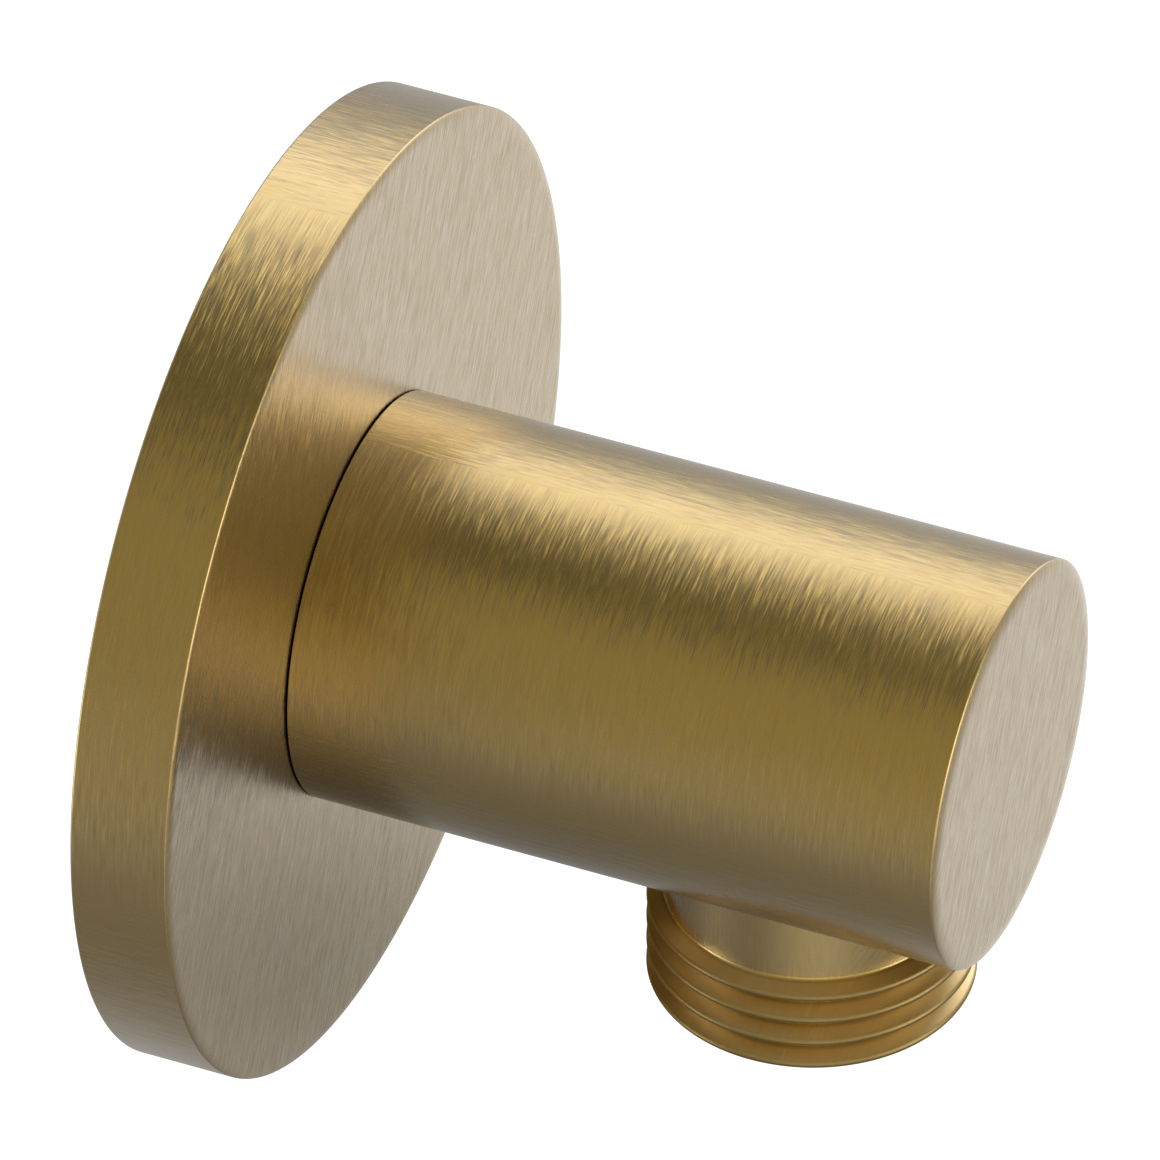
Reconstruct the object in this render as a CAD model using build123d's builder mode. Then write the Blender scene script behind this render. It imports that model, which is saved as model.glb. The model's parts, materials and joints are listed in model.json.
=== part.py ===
from build123d import *
import math
import os

os.makedirs("parts", exist_ok=True)

# A wall outlet elbow for a hand shower: a round rosette against the wall, a round barrel that
# stands out of it, and a threaded nipple that points down for the hose.
# Frame: the wall is the plane Y = 0 and the barrel stands out along -Y, with its axis through the
# origin. +Z is up, and the nipple points along -Z. All sizes are in millimetres.

# Rosette
flange_diameter = 63.0
flange_thickness = 6.55
flange_edge_chamfer = 0.3
flange_plate = 3.0
rim_wall = 2.0
hub_wall = 3.4
hub_setback = 0.8
recess_corner_chamfer = 0.8

# Barrel
body_diameter = 26.4
projection = 50.0
body_edge_chamfer = 0.35
shoulder_chamfer = 0.05
shadow_gap = 0.1
shoulder_step = 1.2
spigot_setback = 0.5
spigot_clearance = 0.15

# 1/2 inch pipe thread of the inlet socket and the nipple: its root diameter, its ridges' height
# above the root and the height of the line where ridge and groove are equally wide
pipe_minor_diameter = 18.631
thread_height = 1.1045
thread_pitch_line = 0.581
thread_pitch = 1.814
thread_flank_angle = 27.5

# Inlet socket, bored to the thread's root diameter
inlet_depth = 15.0
inlet_chamfer = 1.0

# Waterway, drilled from the socket and again from the nipple's port
waterway_diameter = 12.0
drill_point_angle = 118.0
drill_overshoot = 2.0

# Nipple, with the thread as rings
outlet_from_wall = 36.7
nipple_bore_diameter = 13.0
nipple_seat_land = 0.6
nipple_fit = 0.02
nipple_lead_chamfer = 0.5
bore_chamfer = 0.4
crest_count = 4
last_crest_drop = 20.08

# Ring that grips the spigot inside the rosette's hub, drawn as it is when squeezed
cord_diameter = 1.78
cord_squeeze = 0.18
groove_width = 2.4
groove_setback = 2.2

# Sealing ring behind the rosette
gasket_width = 5.0
gasket_fit = 0.1

# Radii and places that follow from the sizes above
flange_radius = flange_diameter / 2
body_radius = body_diameter / 2
spigot_radius = body_radius - shoulder_step
socket_radius = pipe_minor_diameter / 2
waterway_radius = waterway_diameter / 2
shoulder_y = -(flange_thickness + shadow_gap)
spigot_end_y = -spigot_setback
socket_floor_y = spigot_end_y - inlet_depth
hub_bore_radius = spigot_radius + spigot_clearance
groove_radius = spigot_radius + cord_diameter * (1 - cord_squeeze)
hub_radius = hub_bore_radius + hub_wall
recess_floor_y = -(flange_thickness - flange_plate)
recess_radius = flange_radius - rim_wall
groove_y = -(hub_setback + groove_setback)
nipple_seat_z = -(waterway_radius + nipple_seat_land)
neck_radius = pipe_minor_diameter / 2
crest_radius = neck_radius + thread_height
nipple_bore_radius = nipple_bore_diameter / 2
port_radius = neck_radius + nipple_fit
outlet_axis = Axis((0, -outlet_from_wall, 0), (0, 0, 1))
outlet_plane = Plane.XZ.offset(outlet_from_wall)


def drill_point(radius):
    """Length of the cone that a drill of this radius leaves at the end of its hole."""
    return radius / math.tan(math.radians(drill_point_angle / 2))


def corners_at(sketch, radius):
    """The corners of a half section that lie at this distance from its axis."""
    return sketch.vertices().filter_by(lambda corner: abs(corner.X - radius) < 1e-6)


# Barrel: its half section turned about the wall axis, socket and first drilling included
waterway_end_y = -(outlet_from_wall + drill_overshoot)

with BuildPart() as elbow_body:
    with BuildSketch(Plane.XY) as barrel_section:
        with BuildLine():
            Polyline(
                (0, -projection),
                (body_radius, -projection),
                (body_radius, shoulder_y),
                (spigot_radius, shoulder_y),
                (spigot_radius, spigot_end_y),
                (socket_radius + inlet_chamfer, spigot_end_y),
                (socket_radius, spigot_end_y - inlet_chamfer),
                (socket_radius, socket_floor_y),
                (waterway_radius, socket_floor_y),
                (waterway_radius, waterway_end_y),
                (0, waterway_end_y - drill_point(waterway_radius)),
                close=True,
            )
        make_face()
        barrel_corners = corners_at(barrel_section, body_radius)
        chamfer(barrel_corners.sort_by(Axis.Y)[0], length=body_edge_chamfer)
        chamfer(barrel_corners.sort_by(Axis.Y)[-1], length=shoulder_chamfer)
    revolve(axis=Axis.Y)

    # Port for the nipple: a flat-bottomed socket and the second drilling, cut from below
    with BuildSketch(outlet_plane):
        with BuildLine():
            Polyline(
                (0, -projection),
                (port_radius, -projection),
                (port_radius, nipple_seat_z),
                (waterway_radius, nipple_seat_z),
                (waterway_radius, drill_overshoot),
                (0, drill_overshoot + drill_point(waterway_radius)),
                close=True,
            )
        make_face()
    revolve(axis=outlet_axis, mode=Mode.SUBTRACT)

elbow_body.part.label = "elbow_body"
export_step(elbow_body.part, "parts/elbow_body.step")


# Nipple: a neck of the thread's root size, then the ridges, with their flanks through the pitch
# line and the last flank as the lead-in of the end
flank_slope = math.tan(math.radians(thread_flank_angle))
half_crest = thread_pitch / 4 - (thread_height - thread_pitch_line) * flank_slope
half_foot = thread_pitch / 4 + thread_pitch_line * flank_slope
first_crest_z = -last_crest_drop + (crest_count - 1) * thread_pitch
nipple_end_z = -last_crest_drop - half_foot

ridge_corners = []
for ridge in range(crest_count):
    crest_z = first_crest_z - ridge * thread_pitch
    ridge_corners += [
        (neck_radius, crest_z + half_foot),
        (crest_radius, crest_z + half_crest),
        (crest_radius, crest_z - half_crest),
        (neck_radius, crest_z - half_foot),
    ]

with BuildPart() as outlet_nipple:
    with BuildSketch(outlet_plane) as nipple_section:
        with BuildLine():
            Polyline(
                (nipple_bore_radius, nipple_seat_z),
                (neck_radius - nipple_lead_chamfer, nipple_seat_z),
                (neck_radius, nipple_seat_z - nipple_lead_chamfer),
                *ridge_corners,
                (nipple_bore_radius + bore_chamfer, nipple_end_z),
                (nipple_bore_radius, nipple_end_z + bore_chamfer),
                close=True,
            )
        make_face()
    revolve(axis=outlet_axis)

outlet_nipple.part.label = "outlet_nipple"
export_step(outlet_nipple.part, "parts/outlet_nipple.step")


# Rosette: a dished disc with a rim that meets the wall and a hub that takes the grip ring
with BuildPart() as wall_flange:
    with BuildSketch(Plane.XY) as flange_section:
        with BuildLine():
            Polyline(
                (hub_bore_radius, -flange_thickness),
                (flange_radius, -flange_thickness),
                (flange_radius, 0),
                (recess_radius, 0),
                (recess_radius, recess_floor_y),
                (hub_radius, recess_floor_y),
                (hub_radius, -hub_setback),
                (hub_bore_radius, -hub_setback),
                (hub_bore_radius, groove_y),
                (groove_radius, groove_y),
                (groove_radius, groove_y - groove_width),
                (hub_bore_radius, groove_y - groove_width),
                close=True,
            )
        make_face()
        rim_corners = corners_at(flange_section, flange_radius)
        chamfer(rim_corners.sort_by(Axis.Y)[0], length=flange_edge_chamfer)
        hub_foot = corners_at(flange_section, hub_radius).sort_by(Axis.Y)[0]
        chamfer(hub_foot, length=recess_corner_chamfer)
    revolve(axis=Axis.Y)

wall_flange.part.label = "wall_flange"
export_step(wall_flange.part, "parts/wall_flange.step")


# Grip ring: a round cord squeezed between spigot and groove, so it is as much wider as it is thinner
cord_thickness = groove_radius - spigot_radius
cord_width = cord_diameter * math.sqrt(cord_diameter / cord_thickness)
cord_centre = (spigot_radius + cord_thickness / 2, groove_y - groove_width / 2)
cord_corner = 0.3 * min(cord_thickness, cord_width)

with BuildPart() as grip_ring:
    with BuildSketch(Plane.XY) as cord_section:
        with Locations(cord_centre):
            Rectangle(cord_thickness, cord_width)
        chamfer(cord_section.vertices(), length=cord_corner)
    revolve(axis=Axis.Y)

grip_ring.part.label = "grip_ring"
export_step(grip_ring.part, "parts/grip_ring.step")


# Sealing ring: it fills the rosette's recess beside the rim, flush with the wall
gasket_radius = recess_radius - gasket_fit

with BuildPart() as wall_gasket:
    with BuildSketch(Plane.XZ):
        Circle(gasket_radius)
        Circle(gasket_radius - gasket_width, mode=Mode.SUBTRACT)
    extrude(amount=-recess_floor_y)

wall_gasket.part.label = "wall_gasket"
export_step(wall_gasket.part, "parts/wall_gasket.step")
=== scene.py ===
"""Dresses the wall outlet elbow in brushed brass: a rosette, a barrel and a threaded nipple.

Frame: the wall is the plane Y = 0, the barrel stands out along -Y, +Z is up, all in metres.
"""

import json
import math

import bpy
import numpy as np
from mathutils import Matrix, Vector


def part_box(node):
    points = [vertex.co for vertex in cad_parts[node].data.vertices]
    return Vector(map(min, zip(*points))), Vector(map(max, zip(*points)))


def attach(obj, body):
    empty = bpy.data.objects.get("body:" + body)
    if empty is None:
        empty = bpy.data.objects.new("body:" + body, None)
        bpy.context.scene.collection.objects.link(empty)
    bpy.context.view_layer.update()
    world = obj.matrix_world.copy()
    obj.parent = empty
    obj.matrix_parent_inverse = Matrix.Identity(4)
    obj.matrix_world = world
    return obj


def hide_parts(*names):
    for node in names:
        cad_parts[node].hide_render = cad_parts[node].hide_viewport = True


bl_info = {
    "name": "Wall Outlet Elbow Finish",
    "version": (1, 0, 0),
    "blender": (4, 5, 0),
    "location": "View3D > Sidebar > Outlet Elbow",
    "description": "Models the finished surfaces of a wall outlet elbow and lights them",
    "category": "Object",
}

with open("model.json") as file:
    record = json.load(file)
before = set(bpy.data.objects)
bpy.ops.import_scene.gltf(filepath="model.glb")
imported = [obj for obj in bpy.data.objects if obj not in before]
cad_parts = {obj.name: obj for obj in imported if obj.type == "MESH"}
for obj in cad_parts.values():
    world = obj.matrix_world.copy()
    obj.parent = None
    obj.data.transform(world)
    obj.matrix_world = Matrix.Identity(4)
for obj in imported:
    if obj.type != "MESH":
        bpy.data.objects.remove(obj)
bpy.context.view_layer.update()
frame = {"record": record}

MM = 0.001
BODY = "root"

rosette_low, rosette_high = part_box("wall_flange")
barrel_low, barrel_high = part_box("elbow_body")
nipple_low, nipple_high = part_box("outlet_nipple")
grip_low, grip_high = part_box("grip_ring")
gasket_low, gasket_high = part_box("wall_gasket")
mounts = {mount["name"]: mount for mount in frame["record"]["mounts"]}


def mount_radius(name):
    """The radius of a round mount, in metres."""
    return mounts[name]["dims"]["r_mm"] * MM


def length(name, default, description, least=0.0):
    """A size in metres that the sidebar shows as a length."""
    return bpy.props.FloatProperty(
        name=name, description=description, default=default, min=least, precision=5, unit="LENGTH"
    )


def count(name, default, description, least):
    """A whole number."""
    return bpy.props.IntProperty(name=name, description=description, default=default, min=least)


def share(name, default, description, top=1.0):
    """A plain factor from nothing up to top."""
    return bpy.props.FloatProperty(
        name=name, description=description, default=default, min=0.0, max=top, precision=3
    )


def angle(name, default_degrees, description):
    """An angle, given here in degrees and kept in radians."""
    return bpy.props.FloatProperty(
        name=name, description=description, default=math.radians(default_degrees), subtype="ANGLE"
    )


def colour(name, default, description):
    """A colour as its linear red, green and blue."""
    return bpy.props.FloatVectorProperty(
        name=name, description=description, default=default, size=3, min=0.0, max=1.0, subtype="COLOR"
    )


class RosetteShape(bpy.types.PropertyGroup):
    """The round plate at the wall."""

    radius: length("Radius", rosette_high.x, "Outer radius of the plate")
    thickness: length("Thickness", -rosette_low.y, "From the wall to the front face")
    edge_on_face: length("Front edge on face", 0.80 * MM, "How far the front edge eases into the face")
    edge_on_side: length("Front edge on side", 0.20 * MM, "How far the front edge eases into the side")
    back_round: length("Back edge", 0.15 * MM, "Rounding of the edge at the wall")
    plate: length("Plate", 3.0 * MM, "Thickness of the plate over the recess")
    rim_wall: length("Rim wall", 2.0 * MM, "Wall of the outer rim")
    hub_wall: length("Hub wall", 3.4 * MM, "Wall of the hub round the spigot")
    hub_setback: length("Hub setback", 0.8 * MM, "From the wall to the back of the hub")
    recess_round: length("Recess corner", 0.8 * MM, "Rounding inside the recess")
    bore_clearance: length("Bore clearance", 0.15 * MM, "Gap between spigot and hub")
    groove_width: length("Ring groove", 2.4 * MM, "Width of the groove for the grip ring")


class BarrelShape(bpy.types.PropertyGroup):
    """The barrel with its spigot, its inlet socket and its crossed drillings."""

    radius: length("Radius", barrel_high.x, "Outer radius of the barrel")
    projection: length("Projection", -barrel_low.y, "From the wall to the front face")
    edge_on_face: length("Front edge on face", 1.20 * MM, "How far the front edge eases into the face")
    edge_on_side: length("Front edge on side", 0.25 * MM, "How far the front edge eases into the side")
    shoulder_round: length("Shoulder edge", 0.05 * MM, "Rounding of the edge beside the rosette")
    shadow_gap: length("Shadow gap", 0.1 * MM, "Gap between rosette and barrel")
    shoulder_step: length("Shoulder step", 1.2 * MM, "From the barrel's radius in to the spigot's")
    spigot_round: length("Spigot edge", 0.1 * MM, "Rounding of the edge at the spigot's end")
    spigot_setback: length("Spigot setback", -barrel_high.y, "From the wall to the spigot's end")
    inlet_depth: length("Inlet depth", 15.0 * MM, "Depth of the inlet socket")
    inlet_chamfer: length("Inlet chamfer", 1.0 * MM, "Lead-in of the inlet socket")
    socket_round: length("Socket corner", 0.15 * MM, "Rounding round the inlet socket's floor")
    waterway_round: length("Waterway edge", 0.1 * MM, "Rounding at the mouth of the drilling")
    waterway: length("Waterway radius", 6.0 * MM, "Radius of both drillings")
    drill_overshoot: length("Drill overshoot", 2.0 * MM, "How far each drilling passes the crossing")
    port_fit: length("Port fit", 0.02 * MM, "Gap between the nipple and its port")
    inlet_rings: count("Inlet grooves", 6, "Thread grooves in the inlet socket", 0)


class ThreadShape(bpy.types.PropertyGroup):
    """The half inch pipe thread of inlet and nipple."""

    root: length("Root radius", mount_radius("inlet"), "Radius at the foot of the ridges")
    crest: length("Crest radius", mount_radius("outlet_thread"), "Radius at the top of the ridges")
    pitch: length("Pitch", 1.814 * MM, "From one ridge to the next")
    pitch_line: length("Pitch line", 0.581 * MM, "Height where ridge and groove are equally wide")
    crown: length("Crown", 0.28 * MM, "Rounding at the top of a ridge")
    foot_round: length("Foot", 0.06 * MM, "Rounding between two ridges")
    neck_round: length("Neck foot", 0.25 * MM, "Rounding between the neck and the first ridge")
    flank: angle("Flank angle", 27.5, "Slope of a ridge's side")


class NippleShape(bpy.types.PropertyGroup):
    """The threaded outlet under the barrel."""

    from_wall: length("From wall", -(nipple_low.y + nipple_high.y) / 2, "From the wall to the axis")
    top: length("Seat depth", -nipple_high.z, "From the barrel's axis down to the nipple's seat")
    end: length("End depth", -nipple_low.z, "From the barrel's axis down to the nipple's end")
    bore: length("Bore radius", mount_radius("outlet_bore"), "Radius of the nipple's bore")
    lead_chamfer: length("Lead chamfer", 0.5 * MM, "Chamfer of the seated end")
    bore_chamfer: length("Bore chamfer", 0.4 * MM, "Chamfer at the mouth of the bore")
    end_round: length("End edge", 0.08 * MM, "Rounding at the foot of the last flank")
    ridges: count("Ridges", 4, "Thread ridges on the nipple", 1)


class BrushedBrass(bpy.types.PropertyGroup):
    """The brushed and lacquered brass of every visible surface."""

    base: colour("Brass", (0.288, 0.172, 0.008), "Colour of the darker strokes")
    streak: colour("Streak", (0.322, 0.214, 0.039), "Colour of the lighter strokes")
    # Painted light: the ridges' lighter brass stands in for the light their flanks catch, and the crests
    # take a darker brass
    ridge: colour("Ridge brass", (0.460, 0.308, 0.094), "Colour of the thread ridges' flanks")
    crest: colour("Crest brass", (0.190, 0.132, 0.044), "Colour of the thread ridges' crests")
    turn: angle("Block turn", 41.0, "Turn of the brushing directions about the barrel's axis")
    flat_turn: angle("Flat face turn", -13.0, "Further turn of the strokes on flat faces")
    stroke_length: length("Stroke length", 1.7 * MM, "Length of one stroke")
    stroke_width: length("Stroke width", 0.090 * MM, "Width of one stroke")
    press_below: share("Press below", 0.20, "How hard the brush presses where the metal looks down")
    press_above: share("Press above", 1.20, "How hard the brush presses where the metal looks up", 4.0)
    rim_gain: share("Rim gain", 1.2, "How much harder it presses on the rim than on the barrel", 4.0)
    flat_gain: share("Flat gain", 2.2, "How much harder it presses on flat faces", 4.0)
    lift_start: share("Lift start", 0.40, "How hard the round brush presses beside the line on top")
    lift_rate: share("Lift rate", 2.2, "How fast its pressure grows away from that line", 9.0)
    edge_calm: share("Edge calm", 0.8, "Share of its pressure that it loses on round edges")
    tilt_along: share("Tilt along", 0.65, "How far the metal tilts along a stroke")
    tilt_across: share("Tilt across", 0.35, "How far the metal tilts across a stroke")
    thread_gain: share("Thread gain", 0.3, "Share of the tilt that is left on the nipple")
    base_roughness: share("Roughness", 0.29, "Roughness of the darker strokes")
    streak_roughness: share("Streak roughness", 0.26, "Roughness of the lighter strokes")
    ridge_roughness: share("Ridge roughness", 0.16, "Roughness that the thread ridges add")
    lacquer_head_on: share("Lacquer head on", 0.20, "Lacquer seen head on")
    lacquer_aslant: share("Lacquer aslant", 3.2, "How fast the lacquer shows as the face turns away", 9.0)
    lacquer_wear: share("Lacquer wear", 0.25, "Share of the lacquer that the darker strokes lack")
    lacquer_on_ridges: share("Lacquer on ridges", 0.8, "Share of the lacquer on the thread ridges")
    lacquer_ior: share("Lacquer IOR", 2.0, "Refraction of the lacquer", 4.0)
    lacquer_roughness: share("Lacquer roughness", 0.27, "Roughness of the lacquer")
    # Where the ridges' roughness, thinner lacquer and painted light begin and fade in, and how deep the
    # crests' darker brass reaches
    ridge_start: length("Ridge start", 0.05 * MM, "Height over the neck where the ridges begin")
    ridge_fade: length("Ridge fade", 0.25 * MM, "Height over which their own finish fades in")
    crest_depth: length("Crest depth", 0.20 * MM, "Depth of the crests' colour below their top")
    # Painted shade: the faces inside the shadow gap are coloured near black, a reach past the gap and short
    # of a bright edge
    gap_shade_paint: colour("Seam", (0.004, 0.003, 0.002), "Colour of the faces inside the shadow gap")
    gap_shade_reach: length("Seam reach", 0.12 * MM, "How far the dark faces reach past the gap")
    gap_shade_edge: length("Seam edge", 0.04 * MM, "Bright edge left round the dark faces")


class SealRubber(bpy.types.PropertyGroup):
    """The two rubber rings behind the rosette."""

    black: colour("Black rubber", (0.022, 0.022, 0.024), "Colour of the grip ring")
    grey: colour("Grey rubber", (0.105, 0.105, 0.112), "Colour of the sealing ring")
    grain: length("Grain", 0.25 * MM, "Size of the rubber's grain")
    grain_depth: length("Grain depth", 0.01 * MM, "Depth of the rubber's grain")
    grain_dark: share("Dark grain", 0.8, "Brightness of the darkest grain", 4.0)
    grain_light: share("Light grain", 1.25, "Brightness of the lightest grain", 4.0)
    roughness_low: share("Least roughness", 0.5, "Roughness of the smoothest grain")
    roughness_high: share("Most roughness", 0.75, "Roughness of the roughest grain")
    ring_width: length("Ring width", 5.0 * MM, "Width of the sealing ring")
    gasket_round: length("Ring edge", 0.25 * MM, "Rounding of the sealing ring's edges")


class StudioSetup(bpy.types.PropertyGroup):
    """The camera, the pale floor and the light tent."""

    azimuth: angle("Azimuth", -67.248, "Camera angle round the object, from the barrel's front")
    elevation: angle("Elevation", 39.314, "Camera angle above the horizon")
    distance: length("Distance", 1.1829, "From the camera to the aim point")
    aim_depth: length("Aim depth", 24.87 * MM, "Aim point's distance from the wall, on the axis")
    aim_right: length("Aim right", -3.67 * MM, "How far the aim is moved right", -1.0)
    aim_up: length("Aim up", 5.35 * MM, "How far the aim is moved up", -1.0)
    view: angle("Field of view", 3.506, "Angle across the picture")
    floor_drop: length("Floor drop", 0.70, "From the barrel's axis down to the floor")
    floor_size: length("Floor size", 12.0, "Side of the square floor")
    floor_tint: colour("Floor", (0.85, 0.85, 0.85), "Colour of the floor")
    floor_glow: share("Floor glow", 0.45, "White that the floor adds for the camera")
    tent_radius: length("Tent radius", 0.40, "Radius of the light tent")
    tent_level: share("Tent level", 0.27, "Light of the tent's bare cloth")
    room_level: share("Room level", 0.75, "Light of the room round the tent", 4.0)
    shade: share("Shade", 0.54, "Share of the mirrored light that the object's shade takes below it")
    shade_drop: length("Shade drop", 33 * MM, "From the barrel's axis down to the shade")
    shade_from_wall: length("Shade from wall", 14 * MM, "From the wall to the middle of the shade")
    shade_reach: length("Shade reach", 23 * MM, "How far the shade spreads")
    key_power: bpy.props.FloatProperty(
        name="Key power", description="Power of the key lamp", default=3.0, min=0.0, unit="POWER"
    )
    key_size: length("Key size", 0.6, "Side of the square key lamp")
    key_distance: length("Key distance", 1.0, "From the barrel's middle to the key lamp")


# Patches of light on the tent: the way they lie from the object, their level and how narrow they are
TENT_PATCHES = {
    "key panel": ((0.645, 0.30, 0.70), 2.45, 15.0),
    "front key": ((0.86, -0.31, 0.40), 3.70, 18.0),
    "front key low": ((0.86, -0.50, 0.02), 1.30, 30.0),
    "side fill": ((-0.72, 0.25, 0.65), 0.34, 4.0),
    "front fill": ((-0.84, -0.54, -0.12), 1.55, 7.0),
    "front strip": ((-0.02, -0.99, 0.02), 4.50, 22.0),
    "edge fill": ((0.42, -0.85, -0.32), 0.33, 14.0),
    "overhead front": ((0.05, -0.50, 0.86), 0.58, 5.0),
    "right fill": ((0.95, 0.30, 0.05), 0.12, 12.0),
    "low card": ((0.80, -0.22, -0.56), 0.83, 12.0),
    "low fill": ((0.35, 0.33, -0.88), 0.24, 5.0),
    "back card": ((-0.62, 0.75, -0.22), 4.50, 28.0),
    "back wall": ((0.00, 0.97, 0.26), 0.80, 8.0),
}
# A dark flag overhead: the way it lies, the share of light that it takes and how narrow it is
TENT_FLAG = ((-0.18, 0.30, 0.93), 0.78, 26.0)

SETTINGS = {
    "outlet_rosette": RosetteShape,
    "outlet_barrel": BarrelShape,
    "outlet_thread": ThreadShape,
    "outlet_nipple": NippleShape,
    "outlet_brass": BrushedBrass,
    "outlet_rubber": SealRubber,
    "outlet_studio": StudioSetup,
}

# Steps round a turned piece, the widest step of a rounded corner and the steps of an eased one
TURN_STEPS = 256
ARC_STEP = math.radians(10)
EASE_STEPS = 24
# Distance of the guard points beside a corner, and the share of a short edge that they may take
GUARD = 0.05 * MM
GUARD_SHARE = 0.9
SHARP_ANGLE = math.radians(30)
DRILL_HALF_ANGLE = math.radians(118 / 2)
# Start of the port's drill under the barrel, in barrel radii, and the squeezed cord's rounding, in
# cord thicknesses
DRILL_START = 1.1
CORD_ROUND = 0.49

STROKE_INPUTS = (
    "Turn", "Flat Turn", "Edge Calm", "Stroke Length", "Stroke Width", "Tilt Along", "Tilt Across",
)
# Places in the noise where the three brushings lie apart, the coarse noise's scale and its share
SIDE_LAYER, TOP_LAYER, FLAT_LAYER = 0.0, 10.0, 20.0
COARSE_SCALE = (0.5, 0.4, 1.0)
COARSE_SHARE = 0.4
# The middle of both noises' sum, and the tone's own middle and how fast it follows the swing
SWING_MIDDLE = (1.0 + COARSE_SHARE) / 2
TONE_MIDDLE = 0.5
TONE_GAIN = 1.5

WHITE = (1.0, 1.0, 1.0, 1.0)
# The tent's steps from pole to pole, and half the veil's side in reaches of the shade
TENT_STEPS = 64
VEIL_REACHES = 4
# The camera's sensor in millimetres, and how many times nearer and farther it sees than it stands
SENSOR_WIDTH = 36.0
CLIP_RATIO = 100


def eased_corner(corner, back, ahead, reaches):
    """A quarter of an ellipse round a square corner, with a guard point at either end.

    It is corner + back * first * (1 - sin(sweep)) + ahead * second * (1 - cos(sweep)), and the sweep
    is chosen so that the surface itself turns in even steps.
    """
    first, second = reaches
    turn = np.linspace(0, math.pi / 2, EASE_STEPS + 1)[:, None]
    sweep = np.arctan2(first * np.sin(turn), second * np.cos(turn))
    curve = corner + back * first * (1 - np.sin(sweep)) + ahead * second * (1 - np.cos(sweep))
    return np.vstack([corner + back * (first + GUARD), curve, corner + ahead * (second + GUARD)])


def rounded_outline(corners, closed):
    """An outline with its corners rounded, as an array of (radius, place along the axis).

    Each corner is given as (radius, place, rounding) and becomes an arc between its two edges. The arc
    starts and ends at rounding times the tangent of half the turn from the corner, its centre lies on
    the corner's bisector, and each arc has a guard point just outside either end, which keeps the flats
    beside it flat in shading. A corner with a pair of reaches for its rounding is eased instead.
    """
    points = np.array([corner[:2] for corner in corners], float)
    outline = []
    for i, corner in enumerate(points):
        rounding = corners[i][2]
        at_end = not closed and i in (0, len(points) - 1)
        if rounding == 0 or at_end:
            outline.append(corner[None])
            continue
        back = points[i - 1] - corner
        ahead = points[(i + 1) % len(points)] - corner
        room = min(np.linalg.norm(back), np.linalg.norm(ahead)) / 2
        back /= np.linalg.norm(back)
        ahead /= np.linalg.norm(ahead)
        if isinstance(rounding, tuple):
            outline.append(eased_corner(corner, back, ahead, rounding))
            continue
        half_turn = (math.pi - math.acos(np.clip(back @ ahead, -1, 1))) / 2
        reach = rounding * math.tan(half_turn)
        bisector = (back + ahead) / np.linalg.norm(back + ahead)
        centre = corner + bisector * rounding / math.cos(half_turn)
        steps = math.ceil(2 * half_turn / ARC_STEP)
        sweep = np.linspace(-half_turn, half_turn, steps + 1)[:, None]
        side = ahead - bisector * (ahead @ bisector)
        side /= np.linalg.norm(side)
        arc = centre + rounding * (np.sin(sweep) * side - np.cos(sweep) * bisector)
        guard = min(GUARD, max(room - reach, 0) * GUARD_SHARE)
        before = corner + back * (reach + guard)
        after = corner + ahead * (reach + guard)
        outline.append(np.vstack([before, arc, after]) if guard > 0 else arc)
    return np.vstack(outline)


def lathe_mesh(name, outline, centre, axis, closed):
    """A surface of revolution: outline point j, carried round the axis by angle i, is
    centre + axis * place(j) + radius(j) * (across * cos(angle i) + sideways * sin(angle i)).

    An open outline starts and ends on the axis, where each end is one pole point.
    """
    axis = np.array(axis, float)
    across = np.array((1.0, 0.0, 0.0))
    sideways = np.cross(axis, across)
    turn = np.linspace(0, 2 * math.pi, TURN_STEPS, endpoint=False)
    spokes = np.cos(turn)[:, None] * across + np.sin(turn)[:, None] * sideways
    body = outline if closed else outline[1:-1]
    grid = np.array(centre) + body[None, :, 1, None] * axis + body[None, :, 0, None] * spokes[:, None]
    points = grid.reshape(-1, 3)
    columns = len(body)
    index = np.arange(TURN_STEPS * columns).reshape(TURN_STEPS, columns)
    next_turn = np.roll(index, -1, axis=0)
    if closed:
        ahead = np.roll(index, -1, axis=1)
        ahead_turn = np.roll(next_turn, -1, axis=1)
        quads = np.stack([index, ahead, ahead_turn, next_turn], axis=-1).reshape(-1, 4)
        faces = quads.tolist()
    else:
        quads = np.stack(
            [index[:, :-1], index[:, 1:], next_turn[:, 1:], next_turn[:, :-1]], axis=-1
        ).reshape(-1, 4)
        poles = np.array(centre) + np.outer(outline[[0, -1], 1], axis)
        first = len(points)
        points = np.vstack([points, poles])
        first_fan = np.column_stack([np.full(TURN_STEPS, first), index[:, 0], next_turn[:, 0]])
        last_fan = np.column_stack([np.full(TURN_STEPS, first + 1), next_turn[:, -1], index[:, -1]])
        faces = quads.tolist() + first_fan.tolist() + last_fan.tolist()
    mesh = bpy.data.meshes.new(name)
    mesh.from_pydata(points.tolist(), [], faces)
    return mesh


def solid_volume(mesh):
    """Six times the signed volume: the sum over triangles of a . (b x c), positive if faces look out."""
    mesh.calc_loop_triangles()
    corners = np.empty(len(mesh.vertices) * 3)
    mesh.vertices.foreach_get("co", corners)
    triangles = np.empty(len(mesh.loop_triangles) * 3, np.int64)
    mesh.loop_triangles.foreach_get("vertices", triangles)
    a, b, c = np.moveaxis(corners.reshape(-1, 3)[triangles.reshape(-1, 3)], 1, 0)
    return float(np.einsum("ij,ij->", a, np.cross(b, c)))


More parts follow.
